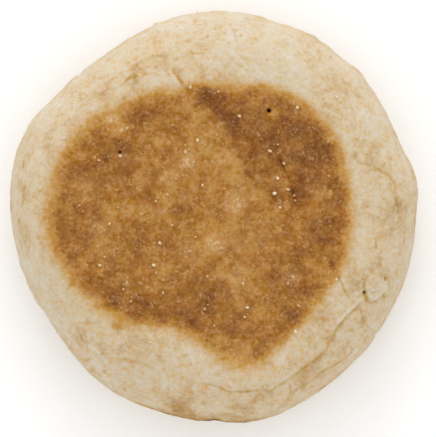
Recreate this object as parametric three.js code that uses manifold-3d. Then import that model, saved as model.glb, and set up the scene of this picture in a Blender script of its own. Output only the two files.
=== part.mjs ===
// An English muffin: a low round bread, griddled flat on both faces, pale and soft round its sides.
// Its crust has a torn flap, creases, two pinholes and the semolina grains baked into its top.
// Millimetres, +Z up. The origin is the centre of the flat base that the muffin rests on.

import * as THREE from 'three';
import { mergeVertices } from 'three/addons/utils/BufferGeometryUtils.js';
import Module from 'manifold-3d';

const wasm = await Module();
wasm.setup();

// Driving dimensions of the round section, before the bread's own unevenness.
const height = 27.4;
const rimRadius = 45.65;
const rimHeight = 13;
const topFlatRadius = 32.5;
const baseFlatRadius = 31;
const shoulderFullness = 2.15;
const topCrown = 0.5;

// How finely the section and the round are divided.
const sectorsRound = 76;
const topRings = 8;
const shoulderSteps = 8;

// Bulges and flats: the middle and half width in degrees, and the rise in millimetres.
const rimBulges = [
  { at: 10, half: 12, rise: 0.95 },
  { at: 24, half: 14, rise: -0.35 },
  { at: 72, half: 46, rise: 0.9 },
  { at: 73, half: 13, rise: -0.5 },
  { at: 125, half: 29, rise: -1.65 },
  { at: 144, half: 9, rise: -0.4 },
  { at: 161, half: 24, rise: 1.2 },
  { at: 201, half: 10, rise: 0.5 },
  { at: 210, half: 34, rise: -1.95 },
  { at: 284, half: 34, rise: 1.1 },
  { at: 286, half: 9, rise: 0.35 },
  { at: 338, half: 30, rise: -0.35 },
];
const topFlatBulges = [
  { at: 48, half: 34, rise: 1 },
  { at: 102, half: 34, rise: -3 },
  { at: 174, half: 44, rise: 5.4 },
  { at: 252, half: 30, rise: -5.4 },
  { at: 286, half: 20, rise: 3.4 },
  { at: 340, half: 40, rise: -1 },
];
const baseFlatBulges = [
  { at: 30, half: 60, rise: 2.2 },
  { at: 140, half: 50, rise: -2.4 },
  { at: 230, half: 55, rise: 1.8 },
  { at: 310, half: 40, rise: -1.6 },
];

// Low swells and hollows of the griddled top: the middle, the reach and the rise.
const topSwells = [
  { x: -22, y: 10, reach: 12, rise: 0.35 },
  { x: -8, y: 19, reach: 7, rise: -0.3 },
  { x: 14, y: 17, reach: 11, rise: 0.45 },
  { x: 1, y: 6, reach: 7, rise: -0.45 },
  { x: 9, y: -3, reach: 7, rise: -0.4 },
  { x: 21, y: -9, reach: 9, rise: 0.35 },
  { x: -14, y: -14, reach: 10, rise: -0.25 },
  { x: -3, y: -22, reach: 8, rise: 0.35 },
  { x: 33, y: -13, reach: 7, rise: 0.5 },
  { x: -30, y: -20, reach: 9, rise: -0.5 },
  { x: 4, y: -36, reach: 8, rise: 0.5 },
];

// Slow waves round the side: how many round the bread, the phase in degrees and the height of each.
const sideWaves = [
  { count: 3, phase: 40, rise: 0.22 },
  { count: 5, phase: 110, rise: 0.16 },
  { count: 8, phase: 15, rise: 0.1 },
];
const sideWaveHeight = 7;
const sideWaveReach = 5;

const radians = (degrees) => (degrees * Math.PI) / 180;
const clamp01 = (value) => Math.min(1, Math.max(0, value));
const smooth = (low, high, value) => {
  const t = clamp01((value - low) / (high - low));
  return t * t * (3 - 2 * t);
};

// The sum of the bulges that reach an angle, each a raised cosine.
function swellAt(bulges, degrees) {
  let sum = 0;
  for (const { at, half, rise } of bulges) {
    const away = Math.abs(((degrees - at + 540) % 360) - 180);
    if (away < half) {
      sum += rise * Math.cos((away / half) * (Math.PI / 2)) ** 2;
    }
  }
  return sum;
}

const angleOf = (x, y) => (Math.atan2(y, x) * 180) / Math.PI;
const rimAt = (degrees) => rimRadius + swellAt(rimBulges, degrees);
const topFlatAt = (degrees) => topFlatRadius + swellAt(topFlatBulges, degrees);
const baseFlatAt = (degrees) => baseFlatRadius + swellAt(baseFlatBulges, degrees);

// Carries a radius of the plain round section to the bread's own uneven one.
function stretched(r, flat, flatHere, rimHere) {
  if (r <= flat) {
    return (r * flatHere) / flat;
  }
  return flatHere + ((r - flat) * (rimHere - flatHere)) / (rimRadius - flat);
}

// The same the other way.
function unstretched(r, flat, flatHere, rimHere) {
  if (r <= flatHere) {
    return (r * flat) / flatHere;
  }
  return flat + ((r - flatHere) * (rimRadius - flat)) / (rimHere - flatHere);
}

function topSwellAt(x, y) {
  let sum = 0;
  for (const { x: cx, y: cy, reach, rise } of topSwells) {
    sum += rise * Math.exp(-((x - cx) ** 2 + (y - cy) ** 2) / (reach * reach));
  }
  return sum;
}

function sideWaveAt(degrees, z) {
  let sum = 0;
  for (const { count, phase, rise } of sideWaves) {
    sum += rise * Math.cos(radians(count * degrees + phase));
  }
  return sum * Math.exp(-(((z - sideWaveHeight) / sideWaveReach) ** 2));
}

// The height that the crown and the swells add at a place on the top.
function topRelief(x, y, plainRadius, z) {
  const crown = -topCrown * Math.min(1, plainRadius / topFlatRadius) ** 2;
  return (crown + topSwellAt(x, y)) * smooth(rimHeight, height, z);
}

// A point of the plain round section carried to the real crust.
function onCrust(x, y, z) {
  const plainRadius = Math.hypot(x, y);
  const degrees = angleOf(x, y);
  const upper = z > rimHeight;
  const flat = upper ? topFlatRadius : baseFlatRadius;
  const flatHere = upper ? topFlatAt(degrees) : baseFlatAt(degrees);
  const r = stretched(plainRadius, flat, flatHere, rimAt(degrees));
  const side = plainRadius > flat ? sideWaveAt(degrees, z) : 0;
  const cos = Math.cos(radians(degrees));
  const sin = Math.sin(radians(degrees));
  const relief = upper ? topRelief(r * cos, r * sin, plainRadius, z) : 0;
  return [(r + side) * cos, (r + side) * sin, z + relief];
}

// The height of the crust's upper side over a place in plan.
function topHeight(x, y) {
  const degrees = angleOf(x, y);
  const plainRadius = unstretched(Math.hypot(x, y), topFlatRadius, topFlatAt(degrees), rimAt(degrees));
  const out = clamp01((plainRadius - topFlatRadius) / (rimRadius - topFlatRadius));
  const z = rimHeight + (height - rimHeight) * (1 - out ** shoulderFullness) ** (1 / shoulderFullness);
  return z + topRelief(x, y, plainRadius, z);
}

// The radius of the crust at an angle and a height on its side.
function sideRadius(degrees, z) {
  const upper = z > rimHeight;
  const flatHere = upper ? topFlatAt(degrees) : baseFlatAt(degrees);
  const reach = upper ? height - rimHeight : rimHeight;
  const up = Math.abs(z - rimHeight) / reach;
  const out = (1 - up ** shoulderFullness) ** (1 / shoulderFullness);
  return flatHere + (rimAt(degrees) - flatHere) * out + sideWaveAt(degrees, z);
}

// One quarter of the rounded side, from its flat (turn 0) to the rim (turn 1).
function shoulderPoint(turn, flat, flatHeight) {
  const phi = (turn * Math.PI) / 2;
  const out = Math.sin(phi) ** (2 / shoulderFullness);
  const up = Math.cos(phi) ** (2 / shoulderFullness);
  return new THREE.Vector2(flat + (rimRadius - flat) * out, rimHeight + (flatHeight - rimHeight) * up);
}

// The section from the middle of the base round to the middle of the top.
function sectionProfile() {
  const points = [new THREE.Vector2(0, 0), new THREE.Vector2(baseFlatRadius * 0.6, 0)];
  for (let i = 0; i <= shoulderSteps; i++) {
    points.push(shoulderPoint(i / shoulderSteps, baseFlatRadius, 0));
  }
  for (let i = shoulderSteps - 1; i >= 0; i--) {
    points.push(shoulderPoint(i / shoulderSteps, topFlatRadius, height));
  }
  for (let i = topRings - 1; i >= 0; i--) {
    points.push(new THREE.Vector2((topFlatRadius * i) / topRings, height));
  }
  return points;
}

// A closed geometry as a solid for joining and cutting.
function solidOf(geometry) {
  const bare = geometry.index ? geometry.toNonIndexed() : geometry.clone();
  bare.deleteAttribute('normal');
  bare.deleteAttribute('uv');
  const merged = mergeVertices(bare, 1e-4);
  return new wasm.Manifold(
    new wasm.Mesh({
      numProp: 3,
      vertProperties: merged.attributes.position.array,
      triVerts: new Uint32Array(merged.index.array),
    }),
  );
}

// Moves every vertex of a geometry by a function of its place.
function moved(geometry, place) {
  const position = geometry.attributes.position;
  for (let i = 0; i < position.count; i++) {
    position.setXYZ(i, ...place(position.getX(i), position.getY(i), position.getZ(i)));
  }
  return geometry;
}

function bread() {
  const round = new THREE.LatheGeometry(sectionProfile(), sectorsRound);
  round.rotateX(Math.PI / 2);
  return solidOf(moved(round, onCrust));
}

// Routes of creases and folds. A route in plan takes [x, y] places, and one on the side takes
// [degrees, height].
const inPlan = (...places) => places.map(([x, y]) => ({ x, y }));
const onSide = (...places) => places.map(([degrees, z]) => ({ degrees, z }));

const grooves = [
  {
    name: 'topFold',
    width: 1.4,
    depth: 0.45,
    route: inPlan([-9.3, 33.2], [-8, 30.9], [-6.4, 28.9], [-4.8, 27.8]),
  },
  {
    name: 'diagonalStep',
    width: 1.6,
    depth: 0.2,
    route: inPlan(
      [-4.4, 28.2],
      [-1.2, 24.9],
      [1.4, 21.7],
      [3.3, 19],
      [4.8, 15.4],
      [7.8, 8.7],
      [11.8, 4.2],
      [16, 0.5],
    ),
  },
  {
    name: 'darkFaceCrease',
    width: 1,
    depth: 0.3,
    route: inPlan([14.5, 12.7], [16.3, 10.5], [17.3, 7.4], [17.9, 4.6], [18.3, 2.8]),
  },
  {
    name: 'terrace',
    width: 1.6,
    depth: 0.35,
    route: inPlan(
      [-0.3, 37.2],
      [-4, 36.5],
      [-8.5, 36.4],
      [-12.8, 36],
      [-16.3, 34.2],
      [-18.8, 30.8],
      [-23.7, 27.7],
      [-31, 23.5],
    ),
  },
  {
    name: 'shortTopCrease',
    width: 1.1,
    depth: 0.3,
    route: inPlan([4.1, 42.5], [4.8, 40.4], [5.6, 37.9]),
  },
  {
    name: 'rightCrease',
    width: 1.3,
    depth: 0.35,
    route: inPlan([32.2, 12.7], [36.7, 10.8], [39, 9.6], [40.4, 7.5], [40.9, 4.5], [40.3, 1.6]),
  },
  {
    name: 'rightNick',
    width: 1,
    depth: 0.35,
    route: inPlan([36.5, -4.8], [36.5, -6], [36.2, -7.4]),
  },
  {
    name: 'patchEdgeCrease',
    width: 1.3,
    depth: 0.4,
    route: inPlan([26.2, -10.4], [27.3, -11.8], [28.5, -14.5], [29.3, -16.5], [30.4, -18.5]),
  },
  {
    name: 'longCrease',
    width: 1.6,
    depth: 0.6,
    route: inPlan(
      [33.7, -19],
      [29.5, -23.6],
      [27.2, -26.2],
      [24.6, -29.9],
      [22.4, -32.3],
      [18.7, -35.1],
      [16.1, -36.4],
      [11.6, -39.8],
    ),
  },
  {
    name: 'lowCrease',
    width: 1.3,
    depth: 0.4,
    route: inPlan([11.2, -39.3], [9.3, -39], [6, -39.4], [3, -39], [0.7, -37.8], [-3, -37.4]),
  },
  {
    name: 'outerCrease',
    width: 1.3,
    depth: 0.4,
    route: inPlan([31.6, -29.8], [29.1, -32.3], [25.1, -34.5], [21.6, -37], [17.3, -39.7]),
  },
  {
    name: 'radialCrease',
    width: 1.3,
    depth: 0.4,
    route: inPlan([33, -19.8], [33.4, -21.6], [34.1, -23.7], [36.3, -26]),
  },
  {
    name: 'lowerLeftCrease',
    width: 1.6,
    depth: 0.4,
    route: inPlan([-20.7, -31.9], [-18, -32.3], [-15, -33.6], [-12.7, -35.3]),
  },
  {
    name: 'leftSideFold',
    width: 1.6,
    depth: 0.5,
    route: onSide([168, 15], [186, 13.4], [204, 14.6], [219, 12.4]),
  },
  {
    name: 'backSideFold',
    width: 1.6,
    depth: 0.5,
    route: onSide([52, 10.5], [68, 12.6], [87, 11.4]),
  },
  {
    name: 'rightSideFold',
    width: 1.5,
    depth: 0.5,
    route: onSide([-32, 9.4], [-14, 11.2], [3, 9.8], [14, 10.8]),
  },
  {
    name: 'frontSideFold',
    width: 1.5,
    depth: 0.5,
    route: onSide([-112, 12.2], [-94, 9.8], [-78, 11]),
  },
];
const ridges = [
  {
    name: 'longRidge',
    width: 1.6,
    rise: 0.35,
    route: inPlan(
      [33, -18.6],
      [31.2, -20.6],
      [29, -22.8],
      [26.9, -25.3],
      [25.2, -27.5],
      [23.4, -29.8],
    ),
  },
  {
    name: 'terraceLip',
    width: 2.2,
    rise: 0.25,
    route: inPlan(
      [0.4, 36.2],
      [-8.2, 34.8],
      [-12.2, 34.4],
      [-15.2, 32.8],
      [-17.8, 29.4],
      [-22.9, 26.3],
      [-30, 22.2],
    ),
  },
];
const routeStep = 2.2;
const tubeSides = 6;

// A place of a route lifted off the crust by a distance, up on the top and outwards on the side.
function lifted(place, lift) {
  if (place.degrees === undefined) {
    return new THREE.Vector3(place.x, place.y, topHeight(place.x, place.y) + lift);
  }
  const r = sideRadius(place.degrees, place.z) + lift;
  const turn = radians(place.degrees);
  return new THREE.Vector3(r * Math.cos(turn), r * Math.sin(turn), place.z);
}

// A smooth route through a few places, as places close enough to follow the crust.
function walked(route) {
  const flat = route.map((p) => new THREE.Vector3(p.x ?? p.degrees, p.y ?? p.z, 0));
  const curve = new THREE.CatmullRomCurve3(flat);
  const onTop = route[0].degrees === undefined;
  const millimetres = onTop ? curve.getLength() : curve.getLength() * radians(rimRadius);
  const steps = Math.max(4, Math.round(millimetres / routeStep));
  return curve.getPoints(steps).map((p) => (onTop ? { x: p.x, y: p.y } : { degrees: p.x, z: p.y }));
}

// A round bar along a route, sunk into the crust or standing proud of it, easing off at both ends.
function bar(route, width, bite) {
  const places = walked(route);
  const points = places.map((place, i) => {
    const t = i / (places.length - 1);
    const ease = Math.min(1, 0.25 + 4 * t, 0.25 + 4 * (1 - t));
    return lifted(place, bite > 0 ? width / 2 - bite * ease : -width / 2 - bite * ease);
  });
  const circle = new THREE.Shape();
  for (let i = 0; i < tubeSides; i++) {
    const turn = (i / tubeSides) * 2 * Math.PI;
    const corner = [Math.cos(turn) * (width / 2), Math.sin(turn) * (width / 2)];
    if (i === 0) {
      circle.moveTo(...corner);
    } else {
      circle.lineTo(...corner);
    }
  }
  circle.closePath();
  const extrudePath = new THREE.CatmullRomCurve3(points);
  const steps = points.length - 1;
  return solidOf(new THREE.ExtrudeGeometry(circle, { steps, extrudePath, bevelEnabled: false }));
}

// The torn flap: it lies on the crust, held along its far edge and lifted at its free tip.
const flapOutline = [
  [34.3, -13.4],
  [33.9, -15.2],
  [34.2, -17.2],
  [35.3, -19.2],
  [36.9, -18],
  [38.5, -16.4],
  [39.6, -14.6],
  [38.2, -13.2],
  [36.2, -12.6],
];
const flapThickness = 1.3;
const flapSink = 1.15;
const flapLift = 0.55;
const flapTip = -19.2;
const flapHinge = -13.2;

function tornFlap() {
  const shape = new THREE.Shape(flapOutline.map(([x, y]) => new THREE.Vector2(x, y)));
  const flap = new THREE.ExtrudeGeometry(shape, { depth: flapThickness, bevelEnabled: false });
  const laid = (x, y, z) => {
    const free = clamp01((flapHinge - y) / (flapHinge - flapTip));
    return [x, y, topHeight(x, y) - flapSink + z + flapLift * free];
  };
  return solidOf(moved(flap, laid));
}

// The open gap round the flap's free edges, and the pit where the tear goes deepest.
const flapGap = {
  width: 1.2,
  depth: 0.5,
  route: inPlan([33.7, -15], [33.9, -17.4], [35.2, -19.6], [38.6, -16.7], [40, -14.6]),
};
const tearPit = { x: 33.9, y: -17, radius: 0.7, depth: 1.6 };
const pinholes = [
  { x: 12.3, y: 24, radius: 0.45, depth: 1.6 },
  { x: -21, y: 14.5, radius: 0.3, depth: 1.2 },
];

function hole({ x, y, radius, depth }) {
  const drill = new THREE.CylinderGeometry(radius, radius * 0.5, 2 * depth, 8);
  drill.rotateX(Math.PI / 2);
  drill.translate(x, y, topHeight(x, y));
  return solidOf(drill);
}

// The largest semolina grains on the top: each one's place and radius.
const grains = [
  [-33.5, 17.6, 0.36],
  [-30, 2.5, 0.34],
  [-25.5, -10.9, 0.4],
  [-24.4, -9.1, 0.34],
  [-23.3, -1.6, 0.36],
  [-20.2, -16.3, 0.34],
  [-19.2, -13.8, 0.36],
  [-18.5, -19, 0.34],
  [-14.3, -28.2, 0.3],
  [-13.4, -10.9, 0.48],
  [-13.2, -5.9, 0.34],
  [-12.9, 3.4, 0.34],
  [-12, -5.9, 0.42],
  [-11.3, -17.1, 0.38],
  [-11.2, -14.3, 0.32],
  [-9.3, -1.9, 0.36],
  [-8.4, 8.4, 0.34],
  [-7.8, -31.2, 0.3],
  [-6.3, 14.5, 0.4],
  [-4.4, 12.2, 0.34],
  [-4, -4.6, 0.32],
  [-3.7, 17.3, 0.34],
  [-2.5, 7, 0.4],
  [-1.4, -13.4, 0.32],
  [0.8, 18.3, 0.34],
  [1.1, 28, 0.34],
  [5.6, 6.9, 0.32],
  [5.8, 22.5, 0.4],
  [6.6, -15, 0.4],
  [7.6, -20.4, 0.42],
  [12.6, 14.7, 0.4],
  [13.7, 5.2, 0.44],
  [14.4, 8.6, 0.42],
  [14.9, 2, 0.36],
  [15.7, -2, 0.32],
  [16.7, 6.1, 0.42],
  [16.7, -15, 0.36],
  [17.8, -13.5, 0.42],
  [18.3, 3.6, 0.32],
  [18.4, -25.8, 0.38],
  [18.7, 24.5, 0.34],
  [19.1, -20, 0.38],
  [25.8, 9.1, 0.34],
  [27.5, 26.8, 0.34],
  [27.6, -14.1, 0.34],
];
const grainSink = 0.35;
const grainTurn = 2.4;

function grain([x, y, radius], index) {
  const lump = new THREE.IcosahedronGeometry(radius, 0);
  lump.rotateX(index * grainTurn);
  lump.rotateZ(index * grainTurn);
  lump.scale(1, 1, 0.85);
  lump.translate(x, y, topHeight(x, y) + radius * grainSink);
  return solidOf(lump);
}

function muffinSolid() {
  let solid = bread();
  for (const { route, width, rise } of ridges) {
    solid = solid.add(bar(route, width, -rise));
  }
  for (const { route, width, depth } of [...grooves, flapGap]) {
    solid = solid.subtract(bar(route, width, depth));
  }
  solid = solid.add(tornFlap());
  for (const place of [tearPit, ...pinholes]) {
    solid = solid.subtract(hole(place));
  }
  for (const [index, place] of grains.entries()) {
    solid = solid.add(grain(place, index));
  }
  return solid;
}

function meshOf(name, solid, material) {
  const { vertProperties, triVerts } = solid.getMesh();
  const geometry = new THREE.BufferGeometry();
  geometry.setAttribute('position', new THREE.BufferAttribute(vertProperties, 3));
  geometry.setIndex(new THREE.BufferAttribute(triVerts, 1));
  geometry.computeVertexNormals();
  const mesh = new THREE.Mesh(geometry, material);
  mesh.name = name;
  return mesh;
}

const crustMaterial = new THREE.MeshStandardMaterial({ color: 0xc79f66, roughness: 0.85, metalness: 0 });

const group = new THREE.Group();
group.add(meshOf('muffin', muffinSolid(), crustMaterial));

export default group;
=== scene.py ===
"""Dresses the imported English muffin: its griddled crust with creases and a torn flap, and its semolina."""

import math
import random

import bmesh
import bpy
import numpy as np
from mathutils import Matrix, Vector, noise
from mathutils.bvhtree import BVHTree


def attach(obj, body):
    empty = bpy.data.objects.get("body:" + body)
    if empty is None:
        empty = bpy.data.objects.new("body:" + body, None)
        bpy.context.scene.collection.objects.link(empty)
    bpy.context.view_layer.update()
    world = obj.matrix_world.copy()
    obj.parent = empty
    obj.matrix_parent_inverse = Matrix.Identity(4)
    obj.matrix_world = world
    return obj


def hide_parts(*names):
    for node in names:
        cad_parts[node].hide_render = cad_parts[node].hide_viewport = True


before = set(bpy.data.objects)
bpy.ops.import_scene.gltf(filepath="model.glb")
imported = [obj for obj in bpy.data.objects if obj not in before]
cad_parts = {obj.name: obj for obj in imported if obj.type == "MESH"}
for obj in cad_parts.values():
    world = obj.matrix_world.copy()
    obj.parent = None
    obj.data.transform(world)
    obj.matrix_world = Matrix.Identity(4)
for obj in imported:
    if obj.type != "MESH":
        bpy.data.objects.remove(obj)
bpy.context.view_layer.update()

MM = 0.001

# The form of the bread, in millimetres, as the solid has it.
HEIGHT = 27.4
RIM_RADIUS = 45.65
RIM_HEIGHT = 13.0
TOP_FLAT_RADIUS = 32.5
BASE_FLAT_RADIUS = 31.0
SHOULDER_FULLNESS = 2.15
TOP_CROWN = 0.5
SECTION_STEPS = 200

# Bulges and flats: the middle and half width in degrees, and the rise.
RIM_BULGES = (
    (10, 12, 0.95), (24, 14, -0.35), (72, 46, 0.9), (73, 13, -0.5), (125, 29, -1.65), (144, 9, -0.4),
    (161, 24, 1.2), (201, 10, 0.5), (210, 34, -1.95), (284, 34, 1.1), (286, 9, 0.35), (338, 30, -0.35),
)
TOP_FLAT_BULGES = (
    (48, 34, 1), (102, 34, -3), (174, 44, 5.4), (252, 30, -5.4), (286, 20, 3.4), (340, 40, -1),
)
BASE_FLAT_BULGES = ((30, 60, 2.2), (140, 50, -2.4), (230, 55, 1.8), (310, 40, -1.6))

# Low swells and hollows of the top: the middle, the reach and the rise.
TOP_SWELLS = (
    (-22, 10, 12, 0.35), (-8, 19, 7, -0.3), (14, 17, 11, 0.45), (1, 6, 7, -0.45), (9, -3, 7, -0.4),
    (21, -9, 9, 0.35), (-14, -14, 10, -0.25), (-3, -22, 8, 0.35), (33, -13, 7, 0.5), (-30, -20, 9, -0.5),
    (4, -36, 8, 0.5),
)

# Slow waves round the side: how many round the bread, the phase in degrees and the rise.
SIDE_WAVES = ((3, 40, 0.22), (5, 110, 0.16), (8, 15, 0.1))
SIDE_WAVE_HEIGHT = 7.0
SIDE_WAVE_REACH = 5.0

# The step that crosses the top browns its right side and spares its left.
STEP_ROUTE = (
    (-4.4, 28.2), (-1.2, 24.9), (1.4, 21.7), (3.3, 19), (4.8, 15.4), (7.8, 8.7), (11.8, 4.2), (16, 0.5),
)
STEP_TOASTING = 0.13
STEP_REACH = 8.0
STEP_FADE = 3.0
STEP_WIDTH = 0.6

# Each crease of the top: its route in plan, the crease's half width and depth, the lip raised on its left
# (below 0: on its right), and how far its colour is darkened, partly its own brown and partly painted shade.
TOP_CREASES = (
    (((-9.3, 33.2), (-8, 30.9), (-6.4, 28.9)), 0.35, 0.08, -0.1, 1.1),
    (((-7, 29.6), (-6, 28.5), (-4.8, 27.8)), 0.5, 0.06, 0, 1.15),
    (STEP_ROUTE, 0.6, 0.06, -0.05, 0.2),
    (((14.2, 13.5), (16.1, 10.4), (17.3, 7.4), (17.9, 4.6), (18.3, 2.8)), 0.33, 0.12, 0, 1.7),
    (((-0.3, 37.2), (-2.6, 36.6), (-5, 36.4), (-8.4, 35.2)), 0.5, 0.03, 0.04, 0.6),
    (((-8.5, 36.4), (-12.8, 36), (-16.3, 34.2)), 0.6, 0.02, 0.04, 0.55),
    (((-15.9, 34.9), (-17.1, 34), (-18.3, 32.7)), 0.3, 0.03, 0.02, 0.7),
    (((-17.4, 31.5), (-18.8, 31), (-19.9, 30.1), (-21.4, 28.9)), 0.35, 0.04, 0.03, 1),
    (((-21.4, 28.9), (-24, 28.2), (-27.3, 26.2), (-31, 23.5)), 0.5, 0.03, 0.05, 0.6),
    (((3.4, 43.8), (4.2, 42.3), (4.9, 40.3), (5.8, 38)), 0.35, 0.02, 0.02, 0.6),
    (((32, 12.4), (34.8, 11.6), (38.1, 10), (40.4, 7.8), (41, 4.4), (41.5, 1)), 0.45, 0.04, 0.02, 0.95),
    (((27.3, -11.8), (28.5, -14.5), (29.3, -16.5), (30.5, -18.6)), 0.35, 0.05, 0.03, 1.5),
    (((33.4, -19.1), (30.8, -21.6), (28.6, -23.8), (26.6, -26.9), (25.3, -29)), 0.4, 0.06, -0.04, 1.1),
    (((27, -26.6), (25.2, -29.8), (22.4, -32.4), (18.7, -35.2), (11.7, -39.8)), 0.5, 0.06, -0.04, 1.1),
    (((11.2, -39.2), (9.3, -39), (6, -39.4), (3, -39.1), (0.7, -38), (-3, -37.4)), 0.4, 0.04, -0.04, 1.1),
    (((31.6, -29.8), (29.1, -32.3), (25.1, -34.5), (21.6, -37), (17.3, -39.7)), 0.5, 0.05, -0.04, 0.95),
    (((16.5, -36.1), (17.2, -38.6), (16.8, -41.2)), 0.4, 0.03, 0.03, 0.5),
    (((10.5, -44.4), (12.6, -44.3), (14.5, -43.9)), 0.4, 0.03, 0, 0.6),
    (((33, -20), (33.2, -21.6), (33.9, -24), (36.2, -26)), 0.35, 0.03, 0.02, 0.65),
    (((-21, -32), (-18, -32.4), (-15, -33.4), (-13, -34.6)), 0.55, 0.02, 0.03, 0.65),
    (((-13.7, -38.8), (-11.8, -39.7), (-9.9, -41), (-7, -42.4)), 0.7, 0.02, 0.02, 0.5),
    # Painted shadow under the flap's free edge.
    (((33.9, -17.6), (34.5, -18.7), (35.6, -19.5), (37.4, -18.4), (39.2, -16.2)), 0.35, 0.03, 0, 0.5),
)
# The folds round the side: the same, with each route by angle and height.
SIDE_FOLDS = (
    (((168, 15), (186, 13.4), (204, 14.6), (219, 12.4)), 0.6, 0.4, 0.2, 0.6),
    (((52, 10.5), (68, 12.6), (87, 11.4)), 0.6, 0.4, 0.2, 0.6),
    (((-32, 9.4), (-14, 11.2), (3, 9.8), (14, 10.8)), 0.6, 0.4, 0.2, 0.6),
    (((-112, 12.2), (-94, 9.8), (-78, 11)), 0.6, 0.4, 0.2, 0.6),
)
LIP_REACH = 1.8
CREASE_WANDER = 0.2

# Short brown marks in the crust: the route, the half width and how brown each is. A few are painted shadow,
# as noted.
TOP_MARKS = (
    (((26.6, -10.4), (27.1, -11.6)), 0.5, 1.5),
    (((17.7, 6.9), (18, 4.8), (18.4, 2.8)), 0.65, 1.6),
    (((14.6, 12.9), (16.2, 10)), 0.5, 1.6),
    (((8.3, 9.2), (11.8, 5.9), (16.4, 0.9), (18.2, -1.4)), 0.4, 0.6),
    (((27.6, -12.6), (28.2, -13.6)), 0.35, 0.8),
    (((36.5, -4.8), (36.4, -7)), 0.35, 0.8),
    (((33.9, -16.8), (33.6, -15.6), (33.9, -14.7), (34.4, -13.4)), 0.25, 0.75),
    # Painted shadow below the pit of the tear.
    (((33.9, -17.6), (34.3, -18.8)), 0.45, 1.2),
    (((39.3, -14.4), (39.6, -16)), 0.3, 0.6),
    # Painted shadow under the flap's free edge.
    (((38.1, -17.3), (38.4, -18.2)), 0.4, 0.9),
    (((33.4, -26.8), (34.2, -28.5)), 0.35, 0.5),
    (((-22.4, -24.5), (-20.9, -24.9)), 0.8, 1.25),
    (((-6.9, -31.4), (-5.8, -31.1)), 0.35, 0.5),
    (((-37, -18.2), (-35.2, -21.4)), 0.25, 0.3),
    (((-35.6, -18.5), (-33.8, -21.8)), 0.25, 0.25),
    (((-43.5, -5.6), (-43.2, -6.6)), 0.35, 0.6),
    (((-42.3, 8), (-42.5, 5.5), (-42.9, 3.2)), 0.35, 0.4),
    (((-42.6, 12.4), (-42.8, 11.2)), 0.4, 0.9),
    (((-32, 30.7), (-33.2, 28.8), (-34.1, 27)), 0.35, 0.6),
    (((-12.9, 14.7), (-12.7, 14.2)), 0.4, 0.6),
    (((-31.9, -9.2), (-31.6, -9.4)), 0.35, 0.6),
    (((-17.4, 31.6), (-17.8, 31.3)), 0.45, 1.1),
    (((-8, 31.3), (-7, 29.9)), 0.4, 1.2),
    (((-6.4, 29), (-5.6, 28.3)), 0.8, 1),
)
# The marks low on the side, from about 248 to 279 degrees, are painted shadow: the dark line along the
# bread's lower outline.
SIDE_MARKS = (
    (((-112, 14.6), (-103, 14), (-93, 13.8), (-86, 14.4)), 1.7, 1),
    (((-99, 13.9), (-91, 13.7), (-87, 14.2)), 0.6, 1.5),
    (((-92.3, 14.8), (-89.3, 14.9)), 1.3, 2.1),
    (((-85.4, 14.9), (-81.2, 15)), 1.3, 1.5),
)

# The largest flakes of bran in the dough: the place and the radius.
BRAN_FLAKES = (
    (-13.2, 39.2, 0.35), (-5.6, 39.2, 0.45), (-4.2, 43.7, 0.35), (-1.4, 40.6, 0.35), (-13.7, 36.1, 0.4),
    (-4.7, 36.6, 0.4), (-8.4, 35.2, 0.35), (-15.5, 32.1, 0.5), (-35.9, 13.3, 0.3), (-36.2, 8, 0.5),
    (6.1, 40.6, 0.35), (9.5, 39.7, 0.35), (12, 35.2, 0.4), (23.8, 37.2, 0.35), (26.3, 35.8, 0.35),
    (26.6, 33, 0.4), (28.6, 25.7, 0.4), (25.2, 25.3, 0.35), (39.8, 12.9, 0.45), (-25, -30.7, 0.4),
    (-24.6, -35, 0.45), (-19.7, -34.3, 0.35), (-11.1, -34.3, 0.35), (-5.1, -33.2, 0.4), (-3.3, -35.2, 0.4),
    (-7, -36.3, 0.5), (-13.4, -38.8, 0.4), (-28.7, -32.4, 0.5), (-27.2, -34.6, 0.5), (-19.9, -39, 0.4),
    (25.8, -23.3, 0.4), (25.5, -25.6, 0.45), (31.1, -25.6, 0.4), (31.1, -29.8, 0.4), (35.6, -12.4, 0.5),
    (16.8, -41.1, 0.45),
)

# Thin floured ridges: the route, the half width and the rise.
TOP_RIDGES = (
    (((33.4, -18.2), (31.6, -20), (29.6, -22), (27.6, -24.4)), 0.38, 0.24),
    (((35.6, -18.8), (37, -17.8), (38.3, -16.4)), 0.35, 0.1),
    (((-9.9, 32.6), (-8.9, 30.9), (-7.7, 29.2)), 0.4, 0.06),
    (((-9.3, -36.3), (-10.6, -37.6), (-12, -39)), 0.35, 0.06),
    (((-27.8, -28.5), (-26.2, -30.2), (-24.2, -32)), 0.35, 0.05),
)

# Smudges of flour left on the browned top: the place, the reach and how white.
SMUDGES = (
    (-6, 11.9, 1.5, 0.95), (-9.8, 8.7, 1.8, 0.4), (6, 6.4, 1, 0.5), (5.2, 3, 2, 0.7),
    (-0.2, -5.4, 1.1, 0.9), (0.9, -7, 1.2, 0.9), (-5.7, -8.2, 1.6, 0.5), (5, -6, 1.8, 0.3),
    (-28.7, 7.3, 1.8, 0.35), (-19.6, -14.6, 0.6, 0.9), (22.2, 13.6, 0.8, 0.7), (17.7, -13.8, 1.2, 0.6),
    (5.5, -12.5, 1.6, 0.35), (10.5, -5.2, 2, 0.25), (24, 5.5, 1.3, 0.35), (4.6, -16.6, 1.6, 0.3),
    (-25.4, -2.6, 2, 0.35), (-20.6, 13.2, 1.2, 0.4),
)

# Nicks and spurs in the outline, up to a height: the angle in degrees, the half width and the rise.
OUTLINE_NICKS = (
    (133, 0.6, -0.4), (124.5, 0.6, -0.25), (106.5, 0.5, 0.35), (324, 0.8, -0.35), (61, 0.9, 0.25),
    (44.5, 2.8, 0.5), (52, 1.5, -0.2), (77, 2.5, 0.25), (89, 2, 0.25), (194, 1.5, 0.25), (206, 2.5, 0.2),
    (270.5, 1.8, -0.4), (280, 4, 0.3), (320, 2, 0.2),
)
NICK_TOP = 23.0
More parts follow.
